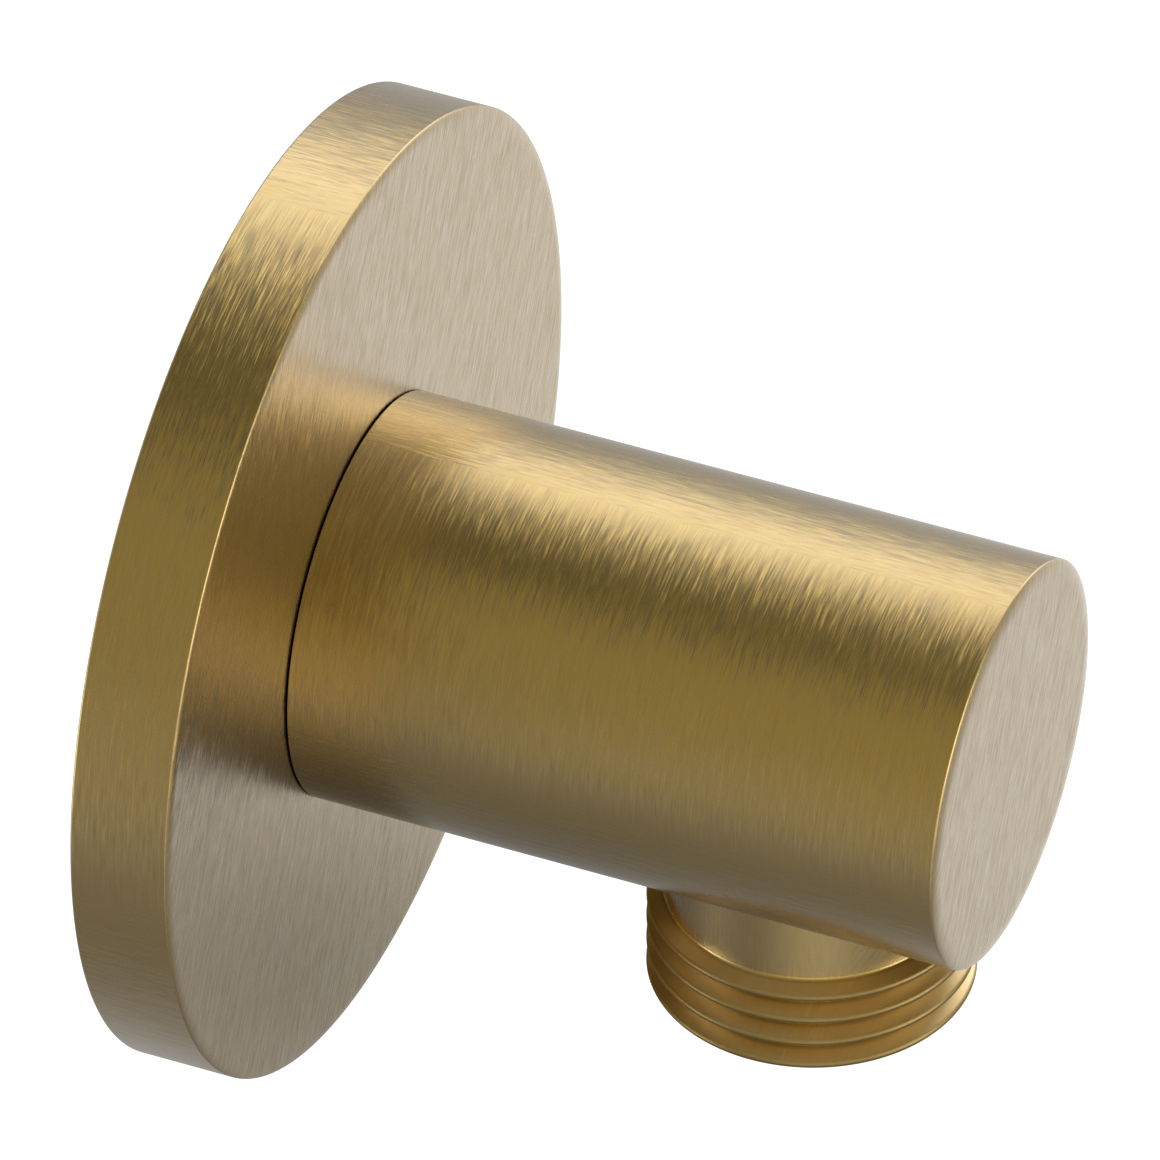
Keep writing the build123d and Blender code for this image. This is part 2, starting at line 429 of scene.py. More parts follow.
def add_solid(name, outline, centre, axis, closed):
    """A turned solid whose faces look outwards, linked to the scene."""
    mesh = lathe_mesh(name, outline, centre, axis, closed)
    if solid_volume(mesh) < 0:
        mesh.flip_normals()
    piece = bpy.data.objects.new(name, mesh)
    bpy.context.scene.collection.objects.link(piece)
    return piece


def add_turned(name, corners, centre, axis, closed):
    """A turned solid from the corners of its outline, each with its rounding."""
    return add_solid(name, rounded_outline(corners, closed), centre, axis, closed)


def cut_away(piece, tool):
    """Takes the tool's volume out of the piece, and removes the tool."""
    cut = piece.modifiers.new("Cut", "BOOLEAN")
    cut.operation = "DIFFERENCE"
    cut.solver = "EXACT"
    cut.object = tool
    graph = bpy.context.evaluated_depsgraph_get()
    finished = bpy.data.meshes.new_from_object(piece.evaluated_get(graph))
    piece.modifiers.remove(cut)
    finished.name = piece.data.name
    piece.data = finished
    bpy.data.objects.remove(tool)


def finish_piece(piece, material, node):
    """Smooths the piece between its sharp edges, adds its material, parents it and hides its CAD part."""
    piece.data.shade_smooth()
    piece.data.set_sharp_from_angle(angle=SHARP_ANGLE)
    piece.data.materials.clear()
    piece.data.materials.append(material)
    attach(piece, BODY)
    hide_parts(node)


def ridge_apex(thread):
    """The radius where the two flanks of a ridge would meet above its round crown.

    The crown touches both flanks, so the flanks meet crown / sin(flank) from its middle, and the
    crown's middle lies the crown's radius below the crest.
    """
    return thread.crest - thread.crown + thread.crown / math.sin(thread.flank)


def ridge_corners(thread, middle):
    """One thread ridge about its middle, as corners (radius, place, rounding) down the axis."""
    half_foot = (ridge_apex(thread) - thread.root) * math.tan(thread.flank)
    return [
        (thread.root, middle + half_foot, thread.foot_round),
        (ridge_apex(thread), middle, thread.crown),
        (thread.root, middle - half_foot, thread.foot_round),
    ]


class NodeTree:
    """Places and links the nodes of a material, a world or a node group."""

    def __init__(self, tree):
        self.tree = tree

    def feed(self, node, inputs):
        """Sets or links a node's inputs, by name or number."""
        for name, value in dict(inputs).items():
            if isinstance(value, bpy.types.NodeSocket):
                self.tree.links.new(value, node.inputs[name])
            else:
                node.inputs[name].default_value = value

    def add(self, kind, inputs=(), **settings):
        """A node of this kind, with its settings and inputs."""
        node = self.tree.nodes.new(kind)
        for name, value in settings.items():
            setattr(node, name, value)
        self.feed(node, inputs)
        return node

    def math(self, operation, *values, clamp=False):
        """The result of a Math node."""
        inputs = dict(enumerate(values))
        return self.add("ShaderNodeMath", inputs, operation=operation, use_clamp=clamp).outputs[0]

    def vector(self, operation, *values, output="Vector"):
        """The result of a Vector Math node."""
        inputs = dict(enumerate(values))
        return self.add("ShaderNodeVectorMath", inputs, operation=operation).outputs[output]

    def scaled(self, vector, factor):
        """A vector times a factor."""
        inputs = {0: vector, "Scale": factor}
        return self.add("ShaderNodeVectorMath", inputs, operation="SCALE").outputs[0]

    def joined(self, x, y, z):
        """A vector from its three parts."""
        return self.add("ShaderNodeCombineXYZ", {"X": x, "Y": y, "Z": z}).outputs[0]

    def parts(self, vector):
        """The parts of a vector, named X, Y and Z."""
        return self.add("ShaderNodeSeparateXYZ", {0: vector}).outputs

    def turned(self, vector, angle):
        """A vector turned about the barrel's axis."""
        inputs = {"Vector": vector, "Angle": angle}
        return self.add("ShaderNodeVectorRotate", inputs, rotation_type="Y_AXIS").outputs[0]

    def off_axis(self, place, across):
        """The distance from an axis, as the length of the place's parts across it."""
        return self.vector("LENGTH", self.vector("MULTIPLY", place, across), output="Value")

    def ramp(self, value, start, end, first, last):
        """first up to start, last from end on, and a straight line between them."""
        inputs = {"Value": value, "From Min": start, "From Max": end, "To Min": first, "To Max": last}
        return self.add("ShaderNodeMapRange", inputs).outputs[0]

    def noise(self, vector, scale, detail, roughness):
        """The outputs of a Noise Texture node."""
        inputs = {"Vector": vector, "Scale": scale, "Detail": detail, "Roughness": roughness}
        return self.add("ShaderNodeTexNoise", inputs).outputs

    def mix(self, factor, first, second, data_type, kind):
        """first where the factor is 0 and second where it is 1."""
        node = self.add("ShaderNodeMix", data_type=data_type)
        sockets = {socket.identifier: socket for socket in node.inputs}
        self.tree.links.new(factor, sockets["Factor_Float"])
        for identifier, value in (("A_" + kind, first), ("B_" + kind, second)):
            if isinstance(value, bpy.types.NodeSocket):
                self.tree.links.new(value, sockets[identifier])
            else:
                sockets[identifier].default_value = value
        return next(socket for socket in node.outputs if socket.identifier == "Result_" + kind)

    def pick(self, factor, first, second):
        """One of two numbers."""
        return self.mix(factor, first, second, "FLOAT", "Float")

    def choose(self, factor, first, second):
        """One of two vectors."""
        return self.mix(factor, first, second, "VECTOR", "Vector")

    def blend(self, factor, first, second):
        """A colour between first and second."""
        first, second = (
            value if isinstance(value, bpy.types.NodeSocket) else (*value, 1.0) for value in (first, second)
        )
        return self.mix(factor, first, second, "RGBA", "Color")


def stroke_axes(nodes, facing, above_side, on_flat, turn, whole_turn):
    """Directions along and across the strokes: the brush's way less its part along the normal, and the
    direction square to it."""
    up, barrel_way = (0.0, 0.0, 1.0), (0.0, 1.0, 0.0)
    way = nodes.choose(above_side, nodes.turned(up, turn), barrel_way)
    way = nodes.choose(on_flat, way, nodes.turned(up, whole_turn))
    sunk = nodes.scaled(facing, nodes.vector("DOT_PRODUCT", facing, way, output="Value"))
    along = nodes.vector("NORMALIZE", nodes.vector("SUBTRACT", way, sunk))
    return along, nodes.vector("CROSS_PRODUCT", facing, along)


def stroke_swing(nodes, spot, flat_spot, above_side, on_flat, given):
    """Three channels of noise about 0, stretched to the strokes' length and width: a fine noise plus a
    share of a coarser one, less the middle of both."""
    on_side = nodes.joined(spot["Z"], spot["Y"], SIDE_LAYER)
    on_top = nodes.joined(spot["Y"], spot["X"], TOP_LAYER)
    on_face = nodes.joined(flat_spot["Z"], flat_spot["X"], FLAT_LAYER)
    strokes = nodes.choose(on_flat, nodes.choose(above_side, on_side, on_top), on_face)
    per_length = nodes.math("DIVIDE", 1.0, given["Stroke Length"])
    per_width = nodes.math("DIVIDE", 1.0, given["Stroke Width"])
    stretched = nodes.vector("MULTIPLY", strokes, nodes.joined(per_length, per_width, 1.0))
    wider = nodes.vector("MULTIPLY", stretched, COARSE_SCALE)
    fine = nodes.noise(stretched, scale=1.0, detail=2.0, roughness=0.55)["Color"]
    coarse = nodes.noise(wider, scale=1.0, detail=1.0, roughness=0.5)["Color"]
    swing = nodes.vector("MULTIPLY_ADD", coarse, (COARSE_SHARE,) * 3, fine)
    return nodes.vector("SUBTRACT", swing, (SWING_MIDDLE,) * 3)


def brush_press(nodes, place, facing, looks, above_side, on_flat, edge_calm):
    """How hard the brush presses: harder on metal that looks up, that is flat or that lies farther out
    than the barrel, and hardly on round edges. The brush that runs round the part lifts off towards
    the line where the one along the axis begins."""
    brass = bpy.context.scene.outlet_brass
    barrel_radius = bpy.context.scene.outlet_barrel.radius
    rosette_radius = bpy.context.scene.outlet_rosette.radius
    height = nodes.parts(facing)["Z"]
    press = nodes.ramp(height, -1.0, 1.0, brass.press_below, brass.press_above)
    radius = nodes.off_axis(place, (1.0, 0.0, 1.0))
    farther = nodes.ramp(radius, barrel_radius, rosette_radius, 1.0, brass.rim_gain)
    flatter = nodes.math("MULTIPLY_ADD", on_flat, brass.flat_gain - 1.0, 1.0)
    edge = nodes.math("SINE", nodes.math("MULTIPLY", nodes.math("ARCCOSINE", looks["Y"]), 2.0))
    calmer = nodes.math("SUBTRACT", 1.0, nodes.math("MULTIPLY", edge, edge_calm))
    past_line = nodes.math("SUBTRACT", looks["X"], looks["Z"])
    lift = nodes.math("MULTIPLY_ADD", past_line, brass.lift_rate, brass.lift_start, clamp=True)
    lift = nodes.math("MAXIMUM", lift, nodes.math("MAXIMUM", above_side, on_flat))
    for factor in (farther, flatter, calmer, lift):
        press = nodes.math("MULTIPLY", press, factor)
    return press


def brushed_strokes_group():
    """Brush strokes laid on by three flat brushes that stand square to each other.

    The part is turned about the barrel's axis. A surface that looks along the turned X is brushed
    along the turned Z, one that looks along the turned Z is brushed along the axis, and one that looks
    along the axis is brushed by a little more than the turn. The first two channels of the swing tilt
    the normal along and across the strokes. Tone runs from 0 to 1: it is the channel that tilts the
    normal round the part, and on flat faces the third channel.
    """
    group = bpy.data.node_groups.new("Brushed strokes", "ShaderNodeTree")
    for label in STROKE_INPUTS:
        group.interface.new_socket(label, in_out="INPUT", socket_type="NodeSocketFloat")
    group.interface.new_socket("Normal", in_out="OUTPUT", socket_type="NodeSocketVector")
    group.interface.new_socket("Tone", in_out="OUTPUT", socket_type="NodeSocketFloat")
    nodes = NodeTree(group)
    given = nodes.add("NodeGroupInput").outputs
    place = nodes.add("ShaderNodeTexCoord").outputs["Object"]
    facing = nodes.add("ShaderNodeNewGeometry").outputs["Normal"]
    back_turn = nodes.math("MULTIPLY", given["Turn"], -1.0)
    whole_turn = nodes.math("ADD", given["Turn"], given["Flat Turn"])
    back_whole_turn = nodes.math("MULTIPLY", whole_turn, -1.0)
    looks = nodes.parts(nodes.vector("ABSOLUTE", nodes.turned(facing, back_turn)))
    above_side = nodes.math("GREATER_THAN", looks["Z"], looks["X"])
    on_flat = nodes.math("GREATER_THAN", looks["Y"], nodes.math("MAXIMUM", looks["X"], looks["Z"]))

    along, across = stroke_axes(nodes, facing, above_side, on_flat, given["Turn"], whole_turn)
    spot = nodes.parts(nodes.turned(place, back_turn))
    flat_spot = nodes.parts(nodes.turned(place, back_whole_turn))
    swing = stroke_swing(nodes, spot, flat_spot, above_side, on_flat, given)
    press = brush_press(nodes, place, facing, looks, above_side, on_flat, given["Edge Calm"])
    swing = nodes.parts(nodes.scaled(swing, press))
    tilt_along = nodes.scaled(along, nodes.math("MULTIPLY", swing["X"], given["Tilt Along"]))
    tilt_across = nodes.scaled(across, nodes.math("MULTIPLY", swing["Y"], given["Tilt Across"]))
    tilted = nodes.vector("ADD", facing, nodes.vector("ADD", tilt_along, tilt_across))
    around = nodes.pick(on_flat, nodes.pick(above_side, swing["X"], swing["Y"]), swing["Z"])
    tone = nodes.math("MULTIPLY_ADD", around, TONE_GAIN, TONE_MIDDLE, clamp=True)
    nodes.add("NodeGroupOutput", {"Normal": nodes.vector("NORMALIZE", tilted), "Tone": tone})
    return group


def empty_material(name):
    """A material without nodes yet, and its node helper."""
    material = bpy.data.materials.new(name)
    material.use_nodes = True
    material.node_tree.nodes.clear()
    return material, NodeTree(material.node_tree)


def new_material(name):
    """A material with its Principled shader and node helper."""
    material, nodes = empty_material(name)
    shader = nodes.add("ShaderNodeBsdfPrincipled")
    nodes.add("ShaderNodeOutputMaterial", {"Surface": shader.outputs[0]})
    return material, nodes, shader


def in_band(nodes, value, low, high):
    """1 where the value lies between low and high, and 0 elsewhere."""
    return nodes.math("COMPARE", value, (low + high) / 2, (high - low) / 2)


def painted_gap_shade_mask(nodes, place):
    """1 on the faces inside the shadow gap between rosette and barrel, which get painted shade."""
    brass = bpy.context.scene.outlet_brass
    barrel = bpy.context.scene.outlet_barrel
    front = -bpy.context.scene.outlet_rosette.thickness
    radius = nodes.off_axis(place, (1.0, 0.0, 1.0))
    depth = nodes.parts(place)["Y"]
    spigot = barrel.radius - barrel.shoulder_step
    beside = in_band(nodes, radius, spigot - brass.gap_shade_edge, barrel.radius - brass.gap_shade_edge)
    reach = brass.gap_shade_reach
    between = in_band(nodes, depth, front - barrel.shadow_gap - reach, front + reach)
    return nodes.math("MULTIPLY", beside, between)


def ridge_masks(nodes, place):
    """0 on the nipple's neck and 1 on its ridges, which carries the flanks' painted light, and 0 below
    the crests and 1 on them, both by the distance from the nipple's axis."""
    brass = bpy.context.scene.outlet_brass
    thread = bpy.context.scene.outlet_thread
    from_axis = nodes.vector("ADD", place, (0.0, bpy.context.scene.outlet_nipple.from_wall, 0.0))
    radius = nodes.off_axis(from_axis, (1.0, 1.0, 0.0))
    start = thread.root + brass.ridge_start
    ridge = nodes.ramp(radius, start, start + brass.ridge_fade, 0.0, 1.0)
    crest = nodes.ramp(radius, thread.crest - brass.crest_depth, thread.crest, 0.0, 1.0)
    return ridge, crest


def brushed_brass(name, threaded=False):
    """Lacquered brass: the strokes set its colour, roughness and normal, and the lacquer shows more
    the more a face turns away. Thread ridges are rougher with less lacquer and a lighter brass, which
    is painted light for the light their flanks catch; their crests are bare and a darker brass. The
    faces inside the shadow gap get painted shade: a near black colour and no lacquer."""
    existing = bpy.data.materials.get(name)
    if existing:
        return existing
    brass = bpy.context.scene.outlet_brass
    material, nodes, shader = new_material(name)
    group = bpy.data.node_groups.get("Brushed strokes") or brushed_strokes_group()
    strokes = nodes.add("ShaderNodeGroup", node_tree=group)
    gain = brass.thread_gain if threaded else 1.0
    calm = 0.0 if threaded else brass.edge_calm
    tilts = (brass.tilt_along * gain, brass.tilt_across * gain)
    values = (brass.turn, brass.flat_turn, calm, brass.stroke_length, brass.stroke_width, *tilts)
    nodes.feed(strokes, zip(STROKE_INPUTS, values))
    tone = strokes.outputs["Tone"]
    place = nodes.add("ShaderNodeTexCoord").outputs["Object"]
    tint = nodes.blend(tone, brass.base, brass.streak)
    rough = nodes.ramp(tone, 0.0, 1.0, brass.base_roughness, brass.streak_roughness)
    aslant = nodes.add("ShaderNodeLayerWeight", {"Blend": 0.5}).outputs["Facing"]
    lacquer = nodes.math("MULTIPLY_ADD", aslant, brass.lacquer_aslant, brass.lacquer_head_on, clamp=True)
    kept = nodes.math("MULTIPLY_ADD", tone, brass.lacquer_wear, 1.0 - brass.lacquer_wear)
    if threaded:
        ridge, crest = ridge_masks(nodes, place)
        # Painted light: a lighter brass on the ridges' flanks, and a darker brass on their crests
        tint = nodes.blend(crest, nodes.blend(ridge, tint, brass.ridge), brass.crest)
        rough = nodes.math("MULTIPLY_ADD", ridge, brass.ridge_roughness, rough)
        on_ridges = nodes.math("MULTIPLY_ADD", ridge, brass.lacquer_on_ridges - 1.0, 1.0)
        below_crests = nodes.math("SUBTRACT", 1.0, crest)
        kept = nodes.math("MULTIPLY", kept, nodes.math("MULTIPLY", on_ridges, below_crests))
    else:
        # Painted shade: the faces inside the shadow gap turn near black and lose their lacquer
        painted_gap_shade = painted_gap_shade_mask(nodes, place)
        tint = nodes.blend(painted_gap_shade, tint, brass.gap_shade_paint)
        kept = nodes.math("MULTIPLY", kept, nodes.math("SUBTRACT", 1.0, painted_gap_shade))
    nodes.feed(shader, {
        "Base Color": tint,
        "Roughness": rough,
        "Normal": strokes.outputs["Normal"],
        "Metallic": 1.0,
        "Coat Weight": nodes.math("MULTIPLY", lacquer, kept),
        "Coat IOR": brass.lacquer_ior,
        "Coat Roughness": brass.lacquer_roughness,
    })
    return material


def rubber(name, tint):
    """Moulded rubber with a fine grain."""
    settings = bpy.context.scene.outlet_rubber
    material, nodes, shader = new_material(name)
    place = nodes.add("ShaderNodeTexCoord").outputs["Object"]
    grain = nodes.noise(place, scale=1 / settings.grain, detail=3.0, roughness=0.6)[0]
    dark = tuple(part * settings.grain_dark for part in tint)
    light = tuple(part * settings.grain_light for part in tint)
    relief = nodes.add("ShaderNodeBump", {"Distance": settings.grain_depth, "Height": grain})
    nodes.feed(shader, {
        "Base Color": nodes.blend(grain, dark, light),
        "Roughness": nodes.ramp(grain, 0.0, 1.0, settings.roughness_low, settings.roughness_high),
        "Normal": relief.outputs[0],
    })
    return material


class OUTLET_OT_rosette(bpy.types.Operator):
    """Turns the rosette with its rim, recess, hub and ring groove"""

    bl_idname = "outlet.rosette"
    bl_label = "Rosette"

    def execute(self, context):
        shape = context.scene.outlet_rosette
        barrel = context.scene.outlet_barrel
        bore = barrel.radius - barrel.shoulder_step + shape.bore_clearance
        hub = bore + shape.hub_wall
        inner_rim = shape.radius - shape.rim_wall
        floor = -(shape.thickness - shape.plate)
        groove_radius = grip_high.x
        groove_middle = (grip_low.y + grip_high.y) / 2
        half_groove = shape.groove_width / 2
        small = shape.back_round
        corners = [
            (bore, -shape.thickness, small),
            (shape.radius, -shape.thickness, (shape.edge_on_face, shape.edge_on_side)),
            (shape.radius, 0, small),
            (inner_rim, 0, small),
            (inner_rim, floor, shape.recess_round),
            (hub, floor, shape.recess_round),
            (hub, -shape.hub_setback, small),
            (bore, -shape.hub_setback, small),
            (bore, groove_middle + half_groove, 0),
            (groove_radius, groove_middle + half_groove, 0),
            (groove_radius, groove_middle - half_groove, 0),
            (bore, groove_middle - half_groove, 0),
        ]
        piece = add_turned("rosette_plate", corners, (0, 0, 0), (0, 1, 0), closed=True)
        finish_piece(piece, brushed_brass("Brushed brass"), "wall_flange")
        return {"FINISHED"}


class OUTLET_OT_barrel(bpy.types.Operator):
    """Turns the barrel with its grooved inlet socket, and drills the nipple's port"""

    bl_idname = "outlet.barrel"
    bl_label = "Barrel"

    def execute(self, context):
        shape = context.scene.outlet_barrel
        thread = context.scene.outlet_thread
        nipple = context.scene.outlet_nipple
        rosette = context.scene.outlet_rosette
        front = -shape.projection
        shoulder = -(rosette.thickness + shape.shadow_gap)
        spigot = shape.radius - shape.shoulder_step
        mouth = -shape.spigot_setback
        socket_floor = mouth - shape.inlet_depth
        crossing_end = -(nipple.from_wall + shape.drill_overshoot)
        drill_tip = shape.waterway / math.tan(DRILL_HALF_ANGLE)
        small = shape.shoulder_round
        corners = [
            (0, front, 0),
            (shape.radius, front, (shape.edge_on_face, shape.edge_on_side)),
            (shape.radius, shoulder, small),
            (spigot, shoulder, 0),
            (spigot, mouth, shape.spigot_round),
            (thread.root + shape.inlet_chamfer, mouth, small),
            (thread.root, mouth - shape.inlet_chamfer, small),
        ]
        first_groove = mouth - shape.inlet_chamfer - thread.pitch
        for ring in range(shape.inlet_rings):
            corners += ridge_corners(thread, first_groove - ring * thread.pitch)
        corners += [
            (thread.root, socket_floor, shape.socket_round),
            (shape.waterway, socket_floor, shape.waterway_round),
            (shape.waterway, crossing_end, 0),
            (0, crossing_end - drill_tip, 0),
        ]
        piece = add_turned("barrel", corners, (0, 0, 0), (0, 1, 0), closed=False)

        port = thread.root + shape.port_fit
        below = -DRILL_START * shape.radius
        port_outline = np.array(
            [
                (0, below),
                (port, below),
                (port, -nipple.top),
                (shape.waterway, -nipple.top),
                (shape.waterway, shape.drill_overshoot),
                (0, shape.drill_overshoot + drill_tip),
            ]
        )
        drill = add_solid("port_drill", port_outline, (0, -nipple.from_wall, 0), (0, 0, 1), closed=False)
        cut_away(piece, drill)
        finish_piece(piece, brushed_brass("Brushed brass"), "elbow_body")
        return {"FINISHED"}


class OUTLET_OT_nipple(bpy.types.Operator):
    """Turns the nipple with its rounded thread ridges and its bore"""

    bl_idname = "outlet.nipple"
    bl_label = "Nipple"

    def execute(self, context):
        shape = context.scene.outlet_nipple
        thread = context.scene.outlet_thread
        # The lower flank of the last ridge is the lead-in, half a ridge's foot long
        lead = thread.pitch / 4 + thread.pitch_line * math.tan(thread.flank)
        last_crest = -shape.end + lead
        corners = [
            (shape.bore, -shape.top, 0),
            (thread.root - shape.lead_chamfer, -shape.top, 0),
            (thread.root, -shape.top - shape.lead_chamfer, 0),
        ]
        neck_foot = len(corners)
        for ridge in reversed(range(shape.ridges)):
            corners += ridge_corners(thread, last_crest + ridge * thread.pitch)
        corners[neck_foot] = (*corners[neck_foot][:2], thread.neck_round)
        lead_radius = ridge_apex(thread) - lead / math.tan(thread.flank)
        corners[-1] = (lead_radius, -shape.end, shape.end_round)
        corners += [
            (shape.bore + shape.bore_chamfer, -shape.end, shape.end_round),
            (shape.bore, -shape.end + shape.bore_chamfer, shape.end_round),
        ]
        piece = add_turned("threaded_nipple", corners, (0, -shape.from_wall, 0), (0, 0, 1), closed=True)
        brass = brushed_brass("Thread brass", threaded=True)
        finish_piece(piece, brass, "outlet_nipple")
        return {"FINISHED"}


class OUTLET_OT_seals(bpy.types.Operator):
    """Moulds the squeezed grip ring and the sealing ring behind the rosette"""

    bl_idname = "outlet.seals"
    bl_label = "Seals"

    def execute(self, context):
        settings = context.scene.outlet_rubber
        barrel = context.scene.outlet_barrel
        if context.scene.outlet_rosette.thickness < -gasket_low.y:
            raise RuntimeError("the sealing ring is thicker than the rosette")
        spigot = barrel.radius - barrel.shoulder_step
        cord_round = CORD_ROUND * min(grip_high.x - spigot, grip_high.y - grip_low.y)
        gasket_inner = gasket_high.x - settings.ring_width
        cord = (grip_low, grip_high, spigot, cord_round)
        gasket = (gasket_low, gasket_high, gasket_inner, settings.gasket_round)
        rings = (
            ("grip_cord", "grip_ring", "black_rubber", settings.black, cord),
            ("sealing_ring", "wall_gasket", "grey_rubber", settings.grey, gasket),
        )
        for name, node, slot, tint, (low, high, inner, edge) in rings:
            places = ((inner, low.y), (high.x, low.y), (high.x, high.y), (inner, high.y))
            corners = [(radius, place, edge) for radius, place in places]
            piece = add_turned(name, corners, (0, 0, 0), (0, 1, 0), closed=True)
            finish_piece(piece, rubber(name.replace("_", " ").capitalize(), tint), node)
        return {"FINISHED"}


def seen_white(nodes):
    """1 for camera, mirror and glass rays, which see the plain white background, and 0 for the rest."""
    path = nodes.add("ShaderNodeLightPath").outputs
    straight = nodes.math("MAXIMUM", path["Is Camera Ray"], path["Is Glossy Ray"])
    return nodes.math("MAXIMUM", straight, path["Is Transmission Ray"])


def tent_material(studio):
    """Cloth that glows: the bare level, plus each patch as level * exp(narrowness * (cosine - 1)) of
    the angle from the patch's middle, less the share that the flag takes in the same way."""
    material, nodes = empty_material("Light tent")
    place = nodes.add("ShaderNodeTexCoord").outputs["Object"]
    way = nodes.vector("NORMALIZE", place)

    def spot(direction, narrowness):
        towards = tuple(Vector(direction).normalized())
        cosine = nodes.vector("DOT_PRODUCT", way, towards, output="Value")
        power = nodes.math("MULTIPLY_ADD", cosine, narrowness, -narrowness)
        return nodes.math("EXPONENT", power)

    light = studio.tent_level
    for direction, level, narrowness in TENT_PATCHES.values():
        light = nodes.math("MULTIPLY_ADD", spot(direction, narrowness), level, light)
    direction, taken, narrowness = TENT_FLAG
    kept = nodes.math("MULTIPLY_ADD", spot(direction, narrowness), -taken, 1.0)
    light = nodes.math("MULTIPLY", light, kept)
    glow = nodes.add("ShaderNodeEmission", {"Color": WHITE, "Strength": light})
    nodes.add("ShaderNodeOutputMaterial", {"Surface": glow.outputs[0]})
    return material


def shade_material(studio):
    """A veil that lets mirrored light through, less shade * exp(-(distance / reach) ** 2)."""
    material, nodes = empty_material("Shade veil")
    place = nodes.add("ShaderNodeTexCoord").outputs["Object"]
    away = nodes.vector("ADD", place, (0.0, studio.shade_from_wall, studio.shade_drop))
    reaches = nodes.math("DIVIDE", nodes.vector("LENGTH", away, output="Value"), studio.shade_reach)
    power = nodes.math("MULTIPLY", nodes.math("MULTIPLY", reaches, reaches), -1.0)
    kept = nodes.math("MULTIPLY_ADD", nodes.math("EXPONENT", power), -studio.shade, 1.0)
    veil = nodes.add("ShaderNodeBsdfTransparent", {"Color": kept})
    nodes.add("ShaderNodeOutputMaterial", {"Surface": veil.outputs[0]})
    return material


def floor_material(studio):
    """A pale matte floor with some white of its own, so that it shows white and keeps its shadow."""
    material, nodes = empty_material("Pale floor")
    matte = nodes.add("ShaderNodeBsdfDiffuse", {"Color": (*studio.floor_tint, 1.0)})
    white = nodes.math("MULTIPLY", seen_white(nodes), studio.floor_glow)
    glow = nodes.add("ShaderNodeEmission", {"Color": WHITE, "Strength": white})
    both = nodes.add("ShaderNodeAddShader", {0: matte.outputs[0], 1: glow.outputs[0]})
    nodes.add("ShaderNodeOutputMaterial", {"Surface": both.outputs[0]})
    return material


def sphere_outline(radius, steps):
    """Half a circle from pole to pole, as (radius * sin(angle), -radius * cos(angle))."""
    sweep = np.linspace(0, math.pi, steps + 1)
    outline = np.column_stack([radius * np.sin(sweep), -radius * np.cos(sweep)])
    outline[[0, -1], 0] = 0.0
    return outline


def add_sheet(name, half_side, height, material):
    """A level square sheet, linked to the scene."""
    mesh = bpy.data.meshes.new(name)
    signs = ((-1, -1), (1, -1), (1, 1), (-1, 1))
    corners = [(x * half_side, y * half_side, height) for x, y in signs]
    mesh.from_pydata(corners, [], [(0, 1, 2, 3)])
    mesh.materials.append(material)
    sheet = bpy.data.objects.new(name, mesh)
    bpy.context.scene.collection.objects.link(sheet)
    return sheet


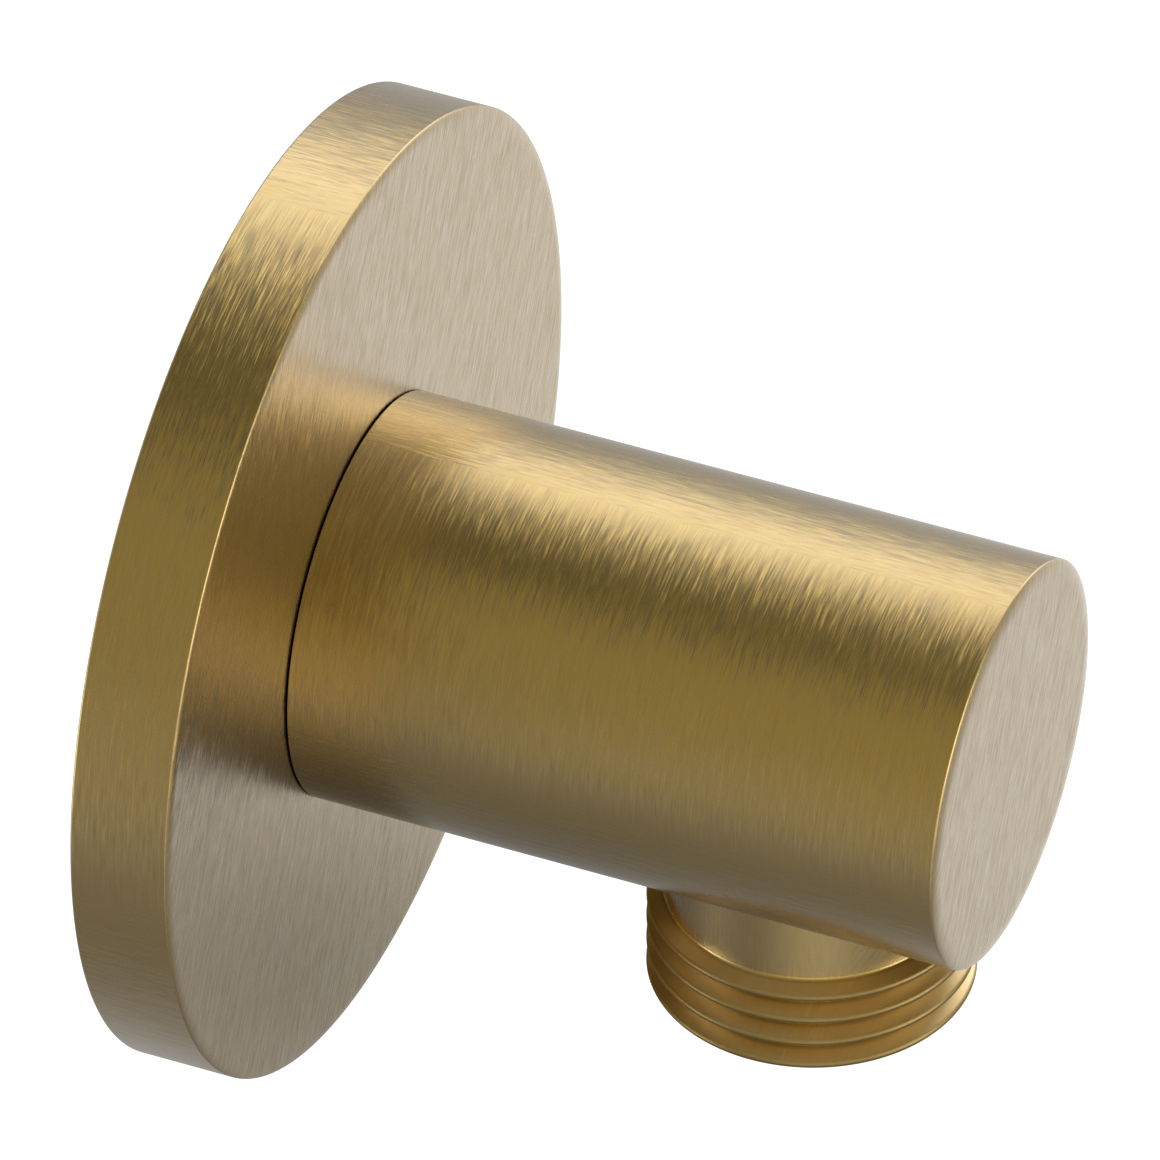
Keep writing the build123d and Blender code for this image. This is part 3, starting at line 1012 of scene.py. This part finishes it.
class OUTLET_OT_stage(bpy.types.Operator):
    """Sets up the camera, the pale floor, the shade, the light tent, the key lamp and the room"""

    bl_idname = "outlet.stage"
    bl_label = "Stage"

    def execute(self, context):
        scene = context.scene
        studio = scene.outlet_studio
        self.set_camera(scene, studio)
        self.set_surroundings(studio)
        self.set_lamp(scene, studio)
        self.set_room(scene, studio)
        scene.view_settings.view_transform = "Standard"
        return {"FINISHED"}

    def set_camera(self, scene, studio):
        """The camera looks at the aim point from its azimuth, elevation and distance."""
        azimuth = studio.azimuth
        level = Vector((math.sin(azimuth), -math.cos(azimuth), 0))
        back = level * math.cos(studio.elevation) + Vector((0, 0, math.sin(studio.elevation)))
        right = Vector((math.cos(azimuth), math.sin(azimuth), 0))
        up = back.cross(right)
        aim = Vector((0, -studio.aim_depth, 0)) + right * studio.aim_right + up * studio.aim_up
        data = bpy.data.cameras.new("camera")
        data.sensor_width = SENSOR_WIDTH
        data.lens_unit = "FOV"
        data.angle = studio.view
        data.clip_start = studio.distance / CLIP_RATIO
        data.clip_end = studio.distance * CLIP_RATIO
        camera = bpy.data.objects.new("camera", data)
        turn = Matrix((right, up, back)).transposed().to_4x4()
        camera.matrix_world = Matrix.Translation(aim + back * studio.distance) @ turn
        scene.collection.objects.link(camera)
        scene.camera = camera

    def set_surroundings(self, studio):
        """The floor, and the veil and the tent, which only mirrored rays see."""
        floor = add_sheet("floor", studio.floor_size / 2, -studio.floor_drop, floor_material(studio))
        veil_half = VEIL_REACHES * studio.shade_reach
        veil = add_sheet("shade_veil", veil_half, -studio.shade_drop, shade_material(studio))
        outline = sphere_outline(studio.tent_radius, TENT_STEPS)
        tent = add_solid("light_tent", outline, (0, 0, 0), (0, 0, 1), closed=False)
        tent.data.shade_smooth()
        tent.data.materials.append(tent_material(studio))
        for rays in ("camera", "diffuse", "shadow", "transmission"):
            setattr(tent, "visible_" + rays, False)
            setattr(veil, "visible_" + rays, False)

    def set_lamp(self, scene, studio):
        """A soft key lamp on the side of the brightest patch, for matte surfaces only."""
        lamp = bpy.data.lights.new("key_lamp", "AREA")
        lamp.energy = studio.key_power
        lamp.size = studio.key_size
        key = bpy.data.objects.new("key_lamp", lamp)
        towards = Vector(TENT_PATCHES["key panel"][0]).normalized()
        key.location = towards * studio.key_distance
        key.rotation_euler = towards.to_track_quat("Z", "Y").to_euler()
        key.visible_glossy = False
        key.visible_camera = False
        scene.collection.objects.link(key)

    def set_room(self, scene, studio):
        """A white room that is seen at full white and lights matte surfaces at its own level."""
        world = bpy.data.worlds.new("White room")
        world.use_nodes = True
        world.node_tree.nodes.clear()
        nodes = NodeTree(world.node_tree)
        level = nodes.math("MULTIPLY_ADD", seen_white(nodes), 1.0 - studio.room_level, studio.room_level)
        room = nodes.add("ShaderNodeBackground", {"Color": WHITE, "Strength": level})
        nodes.add("ShaderNodeOutputWorld", {"Surface": room.outputs[0]})
        scene.world = world


OPERATORS = (
    OUTLET_OT_rosette,
    OUTLET_OT_barrel,
    OUTLET_OT_nipple,
    OUTLET_OT_seals,
    OUTLET_OT_stage,
)


class OUTLET_PT_panel(bpy.types.Panel):
    """Lists the settings and the operators"""

    bl_label = "Outlet Elbow"
    bl_idname = "OUTLET_PT_panel"
    bl_space_type = "VIEW_3D"
    bl_region_type = "UI"
    bl_category = "Outlet Elbow"

    def draw(self, context):
        layout = self.layout
        for operator in OPERATORS:
            layout.operator(operator.bl_idname)
        for name, group in SETTINGS.items():
            box = layout.box()
            box.label(text=group.__doc__)
            settings = getattr(context.scene, name)
            for field in group.__annotations__:
                box.prop(settings, field)


def register():
    for group in SETTINGS.values():
        bpy.utils.register_class(group)
    for name, group in SETTINGS.items():
        setattr(bpy.types.Scene, name, bpy.props.PointerProperty(type=group))
    for operator in OPERATORS:
        bpy.utils.register_class(operator)
    bpy.utils.register_class(OUTLET_PT_panel)


def unregister():
    bpy.utils.unregister_class(OUTLET_PT_panel)
    for operator in reversed(OPERATORS):
        bpy.utils.unregister_class(operator)
    for name, group in SETTINGS.items():
        delattr(bpy.types.Scene, name)
        bpy.utils.unregister_class(group)


def main():
    register()
    bpy.ops.outlet.rosette()
    bpy.ops.outlet.barrel()
    bpy.ops.outlet.nipple()
    bpy.ops.outlet.seals()
    bpy.ops.outlet.stage()


if __name__ == "__main__":
    main()
